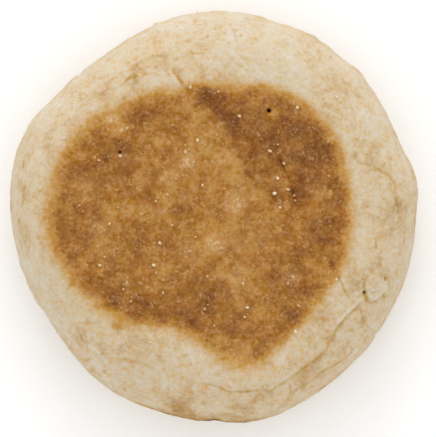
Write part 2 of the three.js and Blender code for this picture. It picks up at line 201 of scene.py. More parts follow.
# Painted shade along the rim's edge, which darkens it towards tan, and where it is wider: the middle and
# half width in degrees, and the change. It is widest at the bottom, the side turned from the key light.
RIM_EDGE_SHADE = 0.3
WIDE_RIM_EDGE_SHADES = ((270, 22, 1.4), (238, 30, 0.1), (310, 36, 0.25))

# The torn flap: its outline, how high its free end lifts, and where its ends are.
FLAP_OUTLINE = (
    (34.4, -13.4), (34.1, -15.2), (34.2, -17), (34.5, -18), (35.3, -19.2), (37.2, -17.9), (39.1, -16.5),
    (39.5, -15), (38.5, -13.4), (36.3, -12.8),
)
FLAP_LIFT = 0.5
FLAP_LUMPS = 0.24
FLAP_HINGE_Y = -13.2
FLAP_TIP_Y = -19.2
FLAP_EDGE = 0.25

# Holes: the place, the radius, the depth and how dark the painted shade at the bottom is.
HOLES = (
    (33.95, -17.1, 0.5, 0.8, 1.75), (38.7, -14, 0.5, 0.3, 1.2), (12.4, 23.8, 0.55, 1.3, 2.1),
    (-21, 14.45, 0.38, 1, 1.9),
)

# The browned patch of each flat: its mean radius, and its bulges as above.
TOP_PATCH_RADIUS = 31.5
TOP_PATCH_BULGES = (
    (42, 40, 1.9), (66, 14, 0.5), (86, 20, -1.35), (104, 11, -1.45), (168, 60, 6.4), (142, 14, 1),
    (187, 18, 1.9), (210, 28, 2.4), (231, 6, 0.5), (249, 21, -3.7), (264, 10, -2), (284, 25, 3.9),
    (306, 10, 0.4), (324, 16, -0.15),
)
BASE_PATCH_RADIUS = 31.0
BASE_PATCH_BULGES = (
    (30, 60, 2), (80, 24, -1.6), (140, 50, -2), (230, 55, 2.2), (275, 20, 1.4), (310, 40, -1.6),
)

# Where the griddle browned each flat more or less: the middle, the reach and the change.
TOP_TOASTING = (
    (-3, 29, 2, 0.2), (0.8, 29, 2, 0.1), (-1.6, 26.2, 2.2, 0.2), (1, 25.1, 3.5, 0.2),
    (13.4, 22.4, 1.2, -0.35), (-5.2, 13.3, 1.3, -0.2), (-0.5, 6, 2.5, -0.12), (-7, 25, 3, -0.12),
    (12, 24.8, 3, -0.08), (3.2, 20.6, 3, 0.12), (6, 23, 3.5, 0.04), (14.3, 18, 6.5, 0.2),
    (16, 11.5, 3, 0.06), (20.6, 20.1, 5, 0.1), (8.2, 20.6, 4, 0.12), (23.5, 13.8, 4, 0.28),
    (19.7, 8.7, 4, 0.12), (18.3, 4.8, 3, 0.1), (20.6, 0.3, 4, 0.07), (29.5, 4.5, 4, 0.18),
    (25.1, -5.3, 4, 0.24), (30, -0.5, 3, 0.08), (31, 6, 2.5, 0.1), (17.2, -9.8, 4, 0.1),
    (21.7, -15.4, 5, 0.12), (18.6, -24, 3.5, 0.3), (-17.7, 22.8, 4, 0.14), (-10.9, 21.7, 4, 0.04),
    (-21, 15, 3.5, 0.16), (-14, 15, 3.5, 0.04), (-30, 10.5, 4, 0.12), (-30, 17.5, 3, 0.1),
    (-24.5, 12, 2.5, 0.1), (-21.7, 10.2, 3, 0.1), (-15.4, 6.6, 3.5, 0.1), (-24, 0, 2.5, -0.06),
    (-31.8, -3, 4, 0.14), (-22.2, -14.7, 5, 0.07), (-12, -12.5, 3, -0.15), (-12, -6, 3, 0.14),
    (-18, -6, 3, 0.07), (-16, -21, 5, 0.16), (-4.2, -22.8, 4, 0.15), (-12, -24.5, 2.5, 0.15),
    (-0.5, -30, 2.5, -0.22), (-30, -12, 3, -0.1), (5, -33, 4, -0.04), (-7.5, -18.8, 4, 0.1),
    (3.3, -25.5, 4, 0.07), (10.5, -29, 3, 0.14), (0.5, -18, 3.5, 0.2), (18, -18, 3, -0.05),
    (10, -18, 4, -0.04), (-22.6, 21.8, 1.5, -0.5), (-20.4, 19.7, 1.5, -0.5), (24, -12, 2.6, -0.28),
    (-12, 0, 3, -0.12), (-24, -18, 3, 0.12), (-12.7, 17.9, 2.5, -0.15), (-12, 12, 2.5, -0.08),
    (-15.4, 10.5, 2.5, -0.12), (-5.7, 12, 3.5, -0.14), (-10.9, 7.5, 3.5, -0.14), (-3.5, 23, 3, -0.14),
    (-0.5, 17, 3.5, -0.09), (3, 9.5, 4, -0.2), (5.5, 2.4, 2.6, -0.14), (12, -1, 4, -0.06),
    (-18.8, 2.6, 4, -0.16), (-28.2, 6.4, 3, -0.1), (-0.6, -4.8, 3.5, -0.32), (-6.2, -11, 3.5, 0.04),
    (4.8, -13.2, 4, -0.16), (10.9, -7.5, 4, -0.05), (6, -28.9, 3.5, -0.12), (-24.9, -6.9, 3.5, -0.1),
    (23.5, 4.8, 2.5, -0.12),
)
BASE_TOASTING = (
    (12, 10, 9, 0.14), (-14, 12, 8, -0.16), (-10, -12, 10, 0.12), (16, -14, 7, -0.14), (2, -1, 6, -0.16),
)
# How much sharper the patch's edge is: the middle and half width in degrees, and the change.
EDGE_SHARPNESS = ((335, 60, 0.3), (95, 10, 0.35), (55, 40, 0.35), (160, 70, -0.08))

# How the dough round the browned patch is tinted: the middle, the reach and the change, where above 0 is
# warmer and darker and below 0 is whiter with flour. The zone at (-8, -43.4) is painted shadow under a fold
# by the bottom rim, and the whiter zones along the top side, as at (0, 44), partly paint the extra light on
# the side that faces the key light.
DOUGH_TINTS = (
    (41, 1, 5, 0.12), (36, 0, 3, 0.15), (39.5, 9, 4, 0.05), (22, -35, 7, 0.1), (18, 31, 5, -0.3),
    (35, 20.5, 4.5, -0.4), (8, 42.5, 5, -0.3), (-40.5, -11, 4, -0.35), (-20.5, -35.5, 5, -0.2),
    (0, -38, 4.5, -0.4), (10, -41, 5, 0.2), (-8, -43.4, 2.6, 0.9), (-12, 38.5, 6, 0.35), (-24, 31, 4, 0.05),
    (0, 44, 9, -0.4), (-9, 42.5, 5, -0.3), (14, 35.5, 4, -0.35), (5, 34, 3, -0.25), (-36, 18, 4, -0.3),
    (-40.5, 10, 3, -0.3), (-40.5, 0, 3, -0.25), (-30, 25, 3, -0.35), (-37.5, -12, 4, -0.2),
    (-37, -21, 4, -0.35), (-18, -29, 4, 0.05), (31, -18, 3, 0.15), (20, 37, 5, -0.2), (-15, 41, 5, -0.2),
    (32, -32, 5, -0.15), (-4, -32, 3.5, -0.3),
)
# How thickly bran flecks the dough, round the bread: the middle and half width in degrees, and the change.
BRAN_AMOUNT = 0.85
BRAN_BULGES = ((275, 90, 0.4), (108, 40, 0.3), (185, 40, -0.4), (148, 26, -0.25), (60, 30, -0.15))
# Smooth places with less of it: the middle, the reach and the change.
SMOOTH_PLACES = ((18, 32.5, 4.5, -0.6), (11, 34, 4, -0.4), (-38.5, 6, 5, -0.3), (-32, 21, 5, -0.4))

# Heights between which tints fade in above the base, the pale band round the side fades out upwards and
# downwards, and the painted shade of the rim's edge and its wide places fade out upwards.
TINT_FADE = (4.0, 10.0)
BAND_FADE = (25.0, 19.0)
BAND_FOOT_FADE = (2.0, 6.0)
RIM_EDGE_SHADE_FADE = (19.0, 15.5)
WIDE_RIM_EDGE_SHADE_FADE = (22.5, 17.0)

# The skin's unevenness in millimetres, and how deep its wrinkles are.
LUMP_RISE = 0.1
PEBBLE_RISE = 0.05
SIDE_ROUGHNESS = 0.12
BASE_DENTS = 0.12
WRINKLE_DEPTH = 0.1
# How far the wrinkles' valleys are darkened, partly tan and partly painted shade.
WRINKLE_BROWN_AND_SHADE = 0.4

# How finely the crust is divided: rows on each side of the first cube, then how far apart its vertices may
# be on the band and sides, within a distance of a crease or mark, and by the flap and the holes. An edge is
# divided when it is more than LONGEST times that.
CUBE_ROWS = 54
DIVISIONS = 3
BAND_FROM = 1.5
BAND_SPACING = 0.5
CREASE_SPACINGS = ((1.1, 0.25), (0.65, 0.13))
NEAR_FLAP = 3.6
NEAR_HOLE = 1.2
DETAIL_SPACING = 0.13
LONGEST = 1.45
# How far apart the places on a line's route are, in millimetres.
ROUTE_STEP = 0.4

# Semolina grains. The largest on the top have their own places, with the radius of each.
GRAINS = (
    (-33.5, 17.6, 0.36), (-26.6, 13.3, 0.36), (-25.7, 12.6, 0.34), (-30, 2.5, 0.34), (-25.5, -10.9, 0.4),
    (-24.4, -9.1, 0.34), (-23.3, -1.6, 0.36), (-21.4, 2, 0.36), (-21.3, -4.7, 0.34), (-20.9, 13.6, 0.37),
    (-20.2, -16.3, 0.34), (-19.4, 19.8, 0.38), (-19.2, -13.8, 0.36), (-18.5, -19, 0.34), (-16.2, 14, 0.32),
    (-14.3, -28.2, 0.3), (-13.4, -10.9, 0.48), (-13.2, -5.9, 0.34), (-12.8, -12.6, 0.36),
    (-12.9, 3.4, 0.34), (-12, -5.9, 0.42), (-11.9, 13.3, 0.32), (-11.3, -17.1, 0.38), (-11.2, -14.3, 0.32),
    (-10.3, 4.9, 0.36), (-9.3, -1.9, 0.36), (-8.4, 8.4, 0.34), (-7.8, -31.2, 0.3), (-6.3, 14.5, 0.4),
    (-6.3, 16, 0.32), (-5.5, 15, 0.34), (-5.2, 29, 0.37), (-4.4, 12.2, 0.34), (-4, -4.6, 0.32),
    (-3.6, 17.1, 0.42), (-2.5, 7, 0.4), (-2, -20.7, 0.34), (-1.4, -13.4, 0.32), (-0.5, -5.6, 0.36),
    (0.2, -24.5, 0.34), (0.8, 18.3, 0.34), (1.1, 28, 0.34), (5.6, 6.9, 0.32), (5.8, 22.5, 0.4),
    (6.6, -15, 0.4), (7, -22.5, 0.34), (7.6, -20.4, 0.42), (10.8, -7.9, 0.32), (12.6, 14.7, 0.46),
    (13.7, 5.2, 0.5), (14.4, 8.6, 0.42), (14.9, 2, 0.42), (15.7, -2, 0.32), (15.8, 11.9, 0.34),
    (16.7, 6.1, 0.42), (16.7, -15, 0.36), (17.8, -13.5, 0.42), (18.1, 4.7, 0.3), (18.3, 3.6, 0.32),
    (18.4, -25.8, 0.46), (18.8, 24.4, 0.4), (19.1, -20, 0.38), (21.6, 13.3, 0.26), (25.8, 9.1, 0.34),
    (27.5, 26.8, 0.42), (27.6, -14.1, 0.34),
)
GRAIN_SEED = 7
GRAIN_SINK = 0.3
GRAIN_UNEVENNESS = 0.17
# How narrow and how wide a grain may be along each of its axes, as shares of its radius.
NARROWEST = 0.65
WIDEST = (1.2, 1.2, 0.9)
# How toasted they are: the placed ones more the smaller they are, and all of them by chance.
PALEST_GRAIN = 0.48
TOAST_BY_SIZE = 2.0
GRAIN_TOAST = (-0.05, 0.15)
DUST_TOAST = (0.2, 0.75)
# The fine grains: how many lie on the top, the base and the side, how far out or high, and their radii.
TOP_DUST = 260
BASE_DUST = 200
SIDE_DUST = 120
DUST_SPREAD = 33
SIDE_DUST_HEIGHTS = (2, 25)
DUST_LARGEST = 0.24
DUST_SMALLEST = 0.12
# How far outside the bread the rays start that find the crust.
ABOVE = 60
BELOW = -30
OUTSIDE = 70


def smooth(low, high, value):
    """A soft step from 0 at low to 1 at high."""
    t = np.clip((value - low) / (high - low), 0.0, 1.0)
    return t * t * (3.0 - 2.0 * t)


def bell(distance, reach):
    """1 at no distance, fading out past the reach."""
    return np.exp(-((distance / reach) ** 2))


def degrees_from(middle, degrees):
    """How far round the bread angles are from a middle one."""
    return np.abs((degrees - middle + 540.0) % 360.0 - 180.0)


def swell_at(bulges, degrees):
    """The sum of the bulges that reach an angle, each a raised cosine."""
    total = np.zeros_like(degrees)
    for middle, half, rise in bulges:
        away = degrees_from(middle, degrees)
        total += np.where(away < half, rise * np.cos(away / half * math.pi / 2) ** 2, 0.0)
    return total


def off_from(points, x, y):
    """How far points are from a place in plan."""
    return np.hypot(points[:, 0] - x, points[:, 1] - y)


def zones_at(points, zones):
    """The sum of round zones' changes at points, in plan."""
    total = np.zeros(len(points))
    for x, y, reach, change in zones:
        total += change * bell(off_from(points, x, y), reach)
    return total


def on_upper(points):
    return points[:, 2] > RIM_HEIGHT


def noise_at(points, size, octaves=1, seed=0.0):
    """Noise from about -1 to 1 at each point, by its lumps' size in millimetres, its layers and its seed."""
    shift = Vector((seed * 17.3, seed * 5.1, seed * 29.7))
    return np.array([noise.fractal(Vector(p) / size + shift, 1.0, 2.0, octaves) for p in points])


def angle_of(x, y):
    return np.degrees(np.arctan2(y, x))


def rim_at(degrees):
    return RIM_RADIUS + swell_at(RIM_BULGES, degrees)


def flat_at(degrees, upper):
    top = TOP_FLAT_RADIUS + swell_at(TOP_FLAT_BULGES, degrees)
    base = BASE_FLAT_RADIUS + swell_at(BASE_FLAT_BULGES, degrees)
    return np.where(upper, top, base)


def side_wave_at(degrees, z):
    total = np.zeros_like(degrees)
    for count, phase, rise in SIDE_WAVES:
        total += rise * np.cos(np.radians(count * degrees + phase))
    return total * bell(z - SIDE_WAVE_HEIGHT, SIDE_WAVE_REACH)


def top_relief(points, plain_radius):
    """The height that the crown and the swells add to places on the top."""
    crown = -TOP_CROWN * np.minimum(1.0, plain_radius / TOP_FLAT_RADIUS) ** 2
    return (crown + zones_at(points, TOP_SWELLS)) * smooth(RIM_HEIGHT, HEIGHT, points[:, 2])


def round_place(degrees, r, z):
    """Places by angle, radius and height, as rows of x, y and z."""
    turn = np.radians(degrees)
    return np.stack((r * np.cos(turn), r * np.sin(turn), z), axis=1)


def shoulder(share):
    """How far out the rounded shoulder is at a share of its height, or how high at a share of its width."""
    return (1.0 - share**SHOULDER_FULLNESS) ** (1.0 / SHOULDER_FULLNESS)


def on_crust(degrees, plain_radius, z):
    """Carries a place on the plain round section to the bread's own uneven crust."""
    upper = z > RIM_HEIGHT
    flat = np.where(upper, TOP_FLAT_RADIUS, BASE_FLAT_RADIUS)
    flat_here = flat_at(degrees, upper)
    outside = flat_here + (plain_radius - flat) * (rim_at(degrees) - flat_here) / (RIM_RADIUS - flat)
    r = np.where(plain_radius <= flat, plain_radius * flat_here / flat, outside)
    side = np.where(plain_radius > flat, side_wave_at(degrees, z), 0.0)
    relief = np.where(upper, top_relief(round_place(degrees, r, z), plain_radius), 0.0)
    return round_place(degrees, r + side, z + relief)


def top_point(x, y):
    """The places on the crust's upper side over places in plan."""
    degrees = angle_of(x, y)
    r = np.hypot(x, y)
    flat_here = flat_at(degrees, np.ones_like(r, bool))
    outside = (r - flat_here) * (RIM_RADIUS - TOP_FLAT_RADIUS) / (rim_at(degrees) - flat_here)
    plain = np.where(r <= flat_here, r * TOP_FLAT_RADIUS / flat_here, TOP_FLAT_RADIUS + outside)
    out = np.clip((plain - TOP_FLAT_RADIUS) / (RIM_RADIUS - TOP_FLAT_RADIUS), 0.0, 1.0)
    points = np.stack((x, y, RIM_HEIGHT + (HEIGHT - RIM_HEIGHT) * shoulder(out)), axis=1)
    points[:, 2] += top_relief(points, plain)
    return points


def side_point(degrees, z):
    """The places on the crust's side at angles and heights."""
    upper = z > RIM_HEIGHT
    flat_here = flat_at(degrees, upper)
    up = np.abs(z - RIM_HEIGHT) / np.where(upper, HEIGHT - RIM_HEIGHT, RIM_HEIGHT)
    r = flat_here + (rim_at(degrees) - flat_here) * shoulder(up) + side_wave_at(degrees, z)
    return round_place(degrees, r, z)


def section_table():
    """The plain section from top centre to base centre: polar angle, radius, height and length so far.

    The angle is the one that gives a ball's surface the same share of its area.
    """
    turn = np.linspace(0.0, math.pi / 2, SECTION_STEPS)
    out = np.sin(turn) ** (2.0 / SHOULDER_FULLNESS)
    up = np.cos(turn) ** (2.0 / SHOULDER_FULLNESS)
    top = np.linspace(0.0, TOP_FLAT_RADIUS, SECTION_STEPS)[:-1]
    base = np.linspace(BASE_FLAT_RADIUS, 0.0, SECTION_STEPS)[1:]
    upper_r = TOP_FLAT_RADIUS + (RIM_RADIUS - TOP_FLAT_RADIUS) * out
    upper_z = RIM_HEIGHT + (HEIGHT - RIM_HEIGHT) * up
    lower_r = BASE_FLAT_RADIUS + (RIM_RADIUS - BASE_FLAT_RADIUS) * out[::-1]
    lower_z = RIM_HEIGHT - RIM_HEIGHT * up[::-1]
    r = np.concatenate((top, upper_r, lower_r[1:], base))
    z = np.concatenate((np.full_like(top, HEIGHT), upper_z, lower_z[1:], np.zeros_like(base)))
    step = np.hypot(np.diff(r), np.diff(z))
    area = np.concatenate(((0.0,), np.cumsum((r[1:] + r[:-1]) / 2 * step)))
    theta = np.arccos(np.clip(1.0 - 2.0 * area / area[-1], -1.0, 1.0))
    return theta, r, z, np.concatenate(((0.0,), np.cumsum(step)))


SECTION = section_table()


def polar_angle(directions):
    return np.arccos(np.clip(directions[:, 2], -1.0, 1.0))


def crust_points(directions):
    """Places on the bread's crust for unit directions."""
    theta = polar_angle(directions)
    r = np.interp(theta, SECTION[0], SECTION[1])
    z = np.interp(theta, SECTION[0], SECTION[2])
    return on_crust(angle_of(directions[:, 0], directions[:, 1]), r, z)


def walked(route, on_bread, scale=1.0):
    """A smooth route through a few places, as places on the crust; scale is its unit in millimetres."""
    ends = [np.array(p, float) for p in (route[0], *route, route[-1])]
    samples = []
    for a, b, c, d in zip(ends, ends[1:], ends[2:], ends[3:]):
        count = max(3, int(np.linalg.norm(c - b) * scale / ROUTE_STEP))
        for t in np.linspace(0.0, 1.0, count, endpoint=False):
            bend = (2 * a - 5 * b + 4 * c - d) * t**2 + (3 * b - a - 3 * c + d) * t**3
            samples.append(0.5 * (2 * b + (c - a) * t + bend))
    samples.append(ends[-1])
    return on_bread(*np.array(samples).T)


def drawn(on_top, on_side=()):
    """Lines as they lie on the crust: each with its route's places there in place of the route."""
    lines = [(walked(route, top_point), *rest) for route, *rest in on_top]
    lines += [(walked(route, side_point, math.radians(RIM_RADIUS)), *rest) for route, *rest in on_side]
    return lines


CREASES = drawn(TOP_CREASES, SIDE_FOLDS)
MARKS = drawn(TOP_MARKS, SIDE_MARKS)
RIDGES = drawn(TOP_RIDGES)


def nearest_on(route, points, normals, reach):
    """The points within reach of a route, how far across it they lie (+ left) and how far along it."""
    index = np.nonzero(((points > route.min(0) - reach) & (points < route.max(0) + reach)).all(1))[0]
    start = route[:-1]
    step = route[1:] - start
    gap = points[index, None, :] - start[None, :, :]
    share = np.clip((gap * step).sum(2) / (step * step).sum(1), 0.0, 1.0)
    off = gap - share[..., None] * step
    distances = np.linalg.norm(off, axis=2)
    best = distances.argmin(1)
    rows = np.arange(len(index))
    left = np.cross(normals[index], step[best])
    side = np.where((left * off[rows, best]).sum(1) < 0.0, -1.0, 1.0)
    along = (best + share[rows, best]) / len(step)
    near = distances[rows, best] < reach
    return index[near], (distances[rows, best] * side)[near], along[near]


def eased(along, power):
    """A rise from 0 at a line's start to 1 at its middle and back to 0 at its end."""
    return np.sin(np.pi * along) ** power


def inside_outline(x, y, outline):
    """Signed distance in plan to a closed outline, positive inside."""
    inside = np.zeros(x.shape, bool)
    nearest = np.full(x.shape, np.inf)
    for (ax, ay), (bx, by) in zip(outline, outline[1:] + outline[:1]):
        run = bx - ax
        climb = by - ay
        t = np.clip(((x - ax) * run + (y - ay) * climb) / (run**2 + climb**2), 0.0, 1.0)
        nearest = np.minimum(nearest, np.hypot(x - ax - t * run, y - ay - t * climb))
        crosses = (ay > y) != (by > y)
        inside ^= crosses & (x < ax + (y - ay) * run / (climb or 1e-9))
    return np.where(inside, nearest, -nearest)


def patch_depth(points):
    """How far inside the browned patch of its own flat each point lies, in plan."""
    degrees = angle_of(points[:, 0], points[:, 1])
    top = TOP_PATCH_RADIUS + swell_at(TOP_PATCH_BULGES, degrees)
    base = BASE_PATCH_RADIUS + swell_at(BASE_PATCH_BULGES, degrees)
    return np.where(on_upper(points), top, base) - off_from(points, 0, 0)


def line_distance(points):
    """How far each point is from the nearest crease, mark, ridge or flake, where one is near."""
    nearest = np.full(len(points), np.inf)
    upright = np.tile((0.0, 0.0, 1.0), (len(points), 1))
    for line in (*CREASES, *MARKS, *RIDGES):
        index, across, _ = nearest_on(line[0], points, upright, CREASE_SPACINGS[0][0])
        nearest[index] = np.minimum(nearest[index], np.abs(across))
    for x, y, _ in BRAN_FLAKES:
        nearest = np.where(on_upper(points), np.minimum(nearest, off_from(points, x, y)), nearest)
    return nearest


def near_detail(points):
    """Which points are close to the flap or a hole."""
    near = off_from(points, *np.mean(FLAP_OUTLINE, axis=0)) < NEAR_FLAP
    for x, y, radius, _, _ in HOLES:
        near |= off_from(points, x, y) < radius + NEAR_HOLE
    return near & on_upper(points)


def wanted_spacing(points):
    """How far apart the vertices may be at each point, in millimetres."""
    on_band = (patch_depth(points) < BAND_FROM) & (points[:, 2] > BAND_FROM)
    wanted = np.where(on_band, BAND_SPACING, np.inf)
    distance = line_distance(points)
    for near, spacing in CREASE_SPACINGS:
        wanted[distance < near] = spacing
    wanted[near_detail(points)] = DETAIL_SPACING
    return wanted


def directions_of(bm):
    """Pulls the vertices onto the unit ball and returns where they are."""
    for v in bm.verts:
        v.co.normalize()
    return np.array([v.co[:] for v in bm.verts])


def move_to(bm, places):
    for v, place in zip(bm.verts, places):
        v.co = place


def crust_ball():
    """A ball of squares, finer on its band and sides, finer still by the creases, the flap and the holes."""
    bm = bmesh.new()
    bmesh.ops.create_cube(bm, size=2.0)
    bmesh.ops.subdivide_edges(bm, edges=bm.edges[:], cuts=CUBE_ROWS - 1, use_grid_fill=True)
    for v in bm.verts:
        v.co = Vector(math.tan(c * math.pi / 4) for c in v.co)
    for _ in range(DIVISIONS):
        points = crust_points(directions_of(bm))
        wanted = wanted_spacing(points)
        ends = np.array([(e.verts[0].index, e.verts[1].index) for e in bm.edges])
        length = np.linalg.norm(points[ends[:, 0]] - points[ends[:, 1]], axis=1)
        too_long = length > LONGEST * wanted[ends].max(1)
        edges = [e for e, chosen in zip(bm.edges, too_long) if chosen]
        bmesh.ops.subdivide_edges(bm, edges=edges, cuts=1, use_grid_fill=True)
        bm.verts.index_update()
    return bm


def toasting_of(points, normals):
    """How much more or less than plainly browned each point is."""
    tone = np.where(on_upper(points), zones_at(points, TOP_TOASTING), zones_at(points, BASE_TOASTING))
    index, across, along = nearest_on(walked(STEP_ROUTE, top_point), points, normals, STEP_REACH)
    browned = 2.0 * smooth(-STEP_WIDTH, STEP_WIDTH, across) - 1.0
    tone[index] += STEP_TOASTING * eased(along, 0.5) * np.exp(-np.abs(across) / STEP_FADE) * browned
    return tone


def flakes_at(points):
    """The large bran flakes: 1 on one."""
    total = np.zeros(len(points))
    for x, y, radius in BRAN_FLAKES:
        off = off_from(points, x, y)
        here = np.nonzero((off < 2.5 * radius) & on_upper(points))[0]
        uneven = off[here] * (1.0 + 0.5 * noise_at(points[here], 0.7, 2, 22.0))
        total[here] = np.maximum(total[here], bell(uneven, radius))
    return total


def tint_of(points):
    """How warm or whitened with flour the dough is, with painted shade darkening the rim's edge."""
    x, y, z = points.T
    off_base = smooth(*TINT_FADE, z)
    rim = smooth(*BAND_FADE, z) * smooth(*BAND_FOOT_FADE, z)
    edge = RIM_EDGE_SHADE * smooth(*RIM_EDGE_SHADE_FADE, z)
    edge += swell_at(WIDE_RIM_EDGE_SHADES, angle_of(x, y)) * smooth(*WIDE_RIM_EDGE_SHADE_FADE, z)
    uneven = off_base * (1.0 + 0.6 * noise_at(points, 7.0, 2, 23.0))
    plain = zones_at(points, DOUGH_TINTS) * off_base - 0.4 * rim + 0.2 * noise_at(points, 9.0, 2, 3.0)
    return plain + edge * uneven


def shape_creases(points, normals, lift, brown):
    """Sinks each crease, raises its lip, and notes how far its colour is darkened: its own brown and painted
    shade.
    """
    for route, half_width, depth, lip, browned in CREASES:
        reach = 3.0 * half_width + (2.0 * LIP_REACH if lip else 0.0)
        index, across, along = nearest_on(route, points, normals, reach)
        ease = eased(along, 0.4)
        across += CREASE_WANDER * noise_at(points[index], 1.6, 2, 6.0)
        width = half_width * (1.0 + 0.4 * noise_at(points[index], 2.6, 1, 11.0))
        lift[index] -= depth * ease * bell(across, width)
        raised = np.exp(-np.abs(across) / LIP_REACH) * smooth(0.0, half_width, across * np.sign(lip or 1.0))
        lift[index] += abs(lip) * ease * raised
        patchy = 0.8 + 0.5 * noise_at(points[index], 2.2, 2, 16.0)
        brown[index] = np.maximum(brown[index], browned * patchy * ease * bell(across, 0.85 * half_width))


def draw_marks(points, normals, brown):
    """Browns each short mark; the few marks that stand for shadow paint it in."""
    for route, half_width, browned in MARKS:
        index, across, _ = nearest_on(route, points, normals, 3.0 * half_width)
        uneven = 0.4 * half_width * noise_at(points[index], 0.6 + half_width, 3, 21.0)
        brown[index] = np.maximum(brown[index], browned * bell(np.abs(across) + uneven, half_width))


def shape_ridges(points, normals, lift, flour):
    """Raises each thin ridge and whitens it."""
    for route, half_width, rise in RIDGES:
        index, across, along = nearest_on(route, points, normals, 3.0 * half_width)
        crest = bell(across + 0.15 * noise_at(points[index], 2.0, 1, 12.0), half_width) * eased(along, 0.4)
        lift[index] += rise * crest
        flour[index] = np.maximum(flour[index], crest)


def shape_flap(points, lift, flour):
    """Raises the torn flap, most at its free tip, with steep edges, and lumps on it."""
    x, y, _ = points.T
    inner = inside_outline(x, y, FLAP_OUTLINE)
    here = on_upper(points) & (inner > -1.0)
    inner[here] += 0.2 * noise_at(points[here], 0.8, 2, 31.0)
    free = np.clip((FLAP_HINGE_Y - y) / (FLAP_HINGE_Y - FLAP_TIP_Y), 0.0, 1.0)
    plate = np.where(here, smooth(-0.1, FLAP_EDGE, inner), 0.0)
    lumps = np.zeros(len(points))
    lumps[here] = noise_at(points[here], 0.9, 3, 13.0)
    lift += plate * (FLAP_LIFT * free + FLAP_LUMPS * lumps)
    lip = free * bell(inner, 2.0 * FLAP_EDGE)
    np.maximum(flour, plate * (0.15 + 0.25 * free + 0.9 * lip + 0.6 * lumps), out=flour)


def shape_holes(points, lift, brown):
    """Sinks the pinholes and the pits of the tear, and darkens their bottoms with painted shade."""
    for x, y, radius, depth, dark in HOLES:
        sunk = np.where(on_upper(points), bell(off_from(points, x, y), radius), 0.0)
        lift -= depth * sunk
        np.maximum(brown, smooth(0.2, 0.75, sunk) * dark, out=brown)


def wrinkles_of(points, arc, depth):
    """Fine wrinkles that run round the pale band and sides: 1 in the crease of each."""
    turn = np.radians(angle_of(points[:, 0], points[:, 1]))
    stretched = np.stack((np.cos(turn) * 9.0, np.sin(turn) * 9.0, arc / 1.7), axis=1)
    here = smooth(-0.2, 0.25, noise_at(points, 8.0, 1, 14.0)) * smooth(-0.5, -3.0, depth)
    return smooth(0.1, 0.0, np.abs(noise_at(stretched, 1.0, 2, 9.0))) * here


def skin_relief(points, depth, wrinkles):
    """The low unevenness of the skin; the base rests flat, with shallow hollows."""
    x, y, z = points.T
    skin = LUMP_RISE * noise_at(points, 6.0, 2, 8.0)
    skin += PEBBLE_RISE * noise_at(points, 1.7, 2, 7.0) * smooth(2.0, -1.0, depth)
    skin += SIDE_ROUGHNESS * noise_at(points, 2.6, 2, 17.0) * smooth(23.0, 19.0, z)
    degrees = angle_of(x, y)
    for middle, half_width, rise in OUTLINE_NICKS:
        away = np.radians(degrees_from(middle, degrees)) * RIM_RADIUS
        skin += rise * bell(away, half_width) * smooth(NICK_TOP, NICK_TOP - 3.0, z)
    off_base = smooth(0.0, 3.0, z)
    dents = BASE_DENTS * np.maximum(0.0, -noise_at(points, 5.0, 2, 10.0))
    return (skin - WRINKLE_DEPTH * wrinkles) * off_base - dents * (1.0 - off_base)


def link(thing):
    """Puts an object in the scene and returns it."""
    bpy.context.scene.collection.objects.link(thing)
    return thing


def object_from(name, bm, material):
    """Turns a finished bmesh into an object in the scene."""
    mesh = bpy.data.meshes.new(name)
    bm.to_mesh(mesh)
    bm.free()
    mesh.materials.append(material)
    return link(bpy.data.objects.new(name, mesh))


def shown_piece(name, bm, material, attributes):
    """A piece that takes the solid's place on its body, with what its material reads at each vertex."""
    piece = object_from(name, bm, material)
    piece.data.shade_smooth()
    for kind, values in attributes.items():
        made = piece.data.attributes.new(kind, "FLOAT", "POINT")
        made.data.foreach_set("value", np.asarray(values, np.float32))
    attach(piece, "root")
    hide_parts("muffin")


def read_by_material(points, normals, depth, brown, flour):
    """What the crust's material reads at each vertex."""
    degrees = angle_of(points[:, 0], points[:, 1])
    bran = BRAN_AMOUNT + swell_at(BRAN_BULGES, degrees) + zones_at(points, SMOOTH_PLACES)
    return {
        "patch_depth": depth * (1.0 + swell_at(EDGE_SHARPNESS, degrees)),
        "bran": np.maximum(bran, 0.0),
        "toasting": toasting_of(points, normals),
        "dough_tint_and_painted_light": tint_of(points) - flour,
        "brown_and_painted_shade": brown,
        "flake": flakes_at(points),
        "smudge": np.where(on_upper(points), zones_at(points, SMUDGES), 0.0),
    }


def crust(material):
    """The whole bread: its form, the creases, the tear, the skin and how browned it is."""
    bm = crust_ball()
    directions = directions_of(bm)
    points = crust_points(directions)
    move_to(bm, points)
    bm.normal_update()
    normals = np.array([v.normal[:] for v in bm.verts])
    depth = patch_depth(points)
    wrinkles = wrinkles_of(points, np.interp(polar_angle(directions), SECTION[0], SECTION[3]), depth)
    lift = skin_relief(points, depth, wrinkles)
    # The wrinkles' valleys begin the darkening of the crust: brown and painted shade.
    brown = WRINKLE_BROWN_AND_SHADE * wrinkles
    flour = np.zeros(len(points))
    shape_creases(points, normals, lift, brown)
    draw_marks(points, normals, brown)
    shape_ridges(points, normals, lift, flour)
    shape_flap(points, lift, flour)
    shape_holes(points, lift, brown)
    placed = (points + normals * lift[:, None]) * MM
    placed[:, 2] = np.maximum(placed[:, 2], 0.0)
    move_to(bm, placed)
    bmesh.ops.recalc_face_normals(bm, faces=bm.faces[:])
    surface = BVHTree.FromBMesh(bm)
    shown_piece("muffin_crust", bm, material, read_by_material(points, normals, depth, brown, flour))
    return surface


def land(surface, start, heading):
    """Where a ray, in millimetres, meets the crust, with the crust's normal there."""
    place, normal, _, _ = surface.ray_cast(Vector(start) * MM, Vector(heading))
    return place, normal


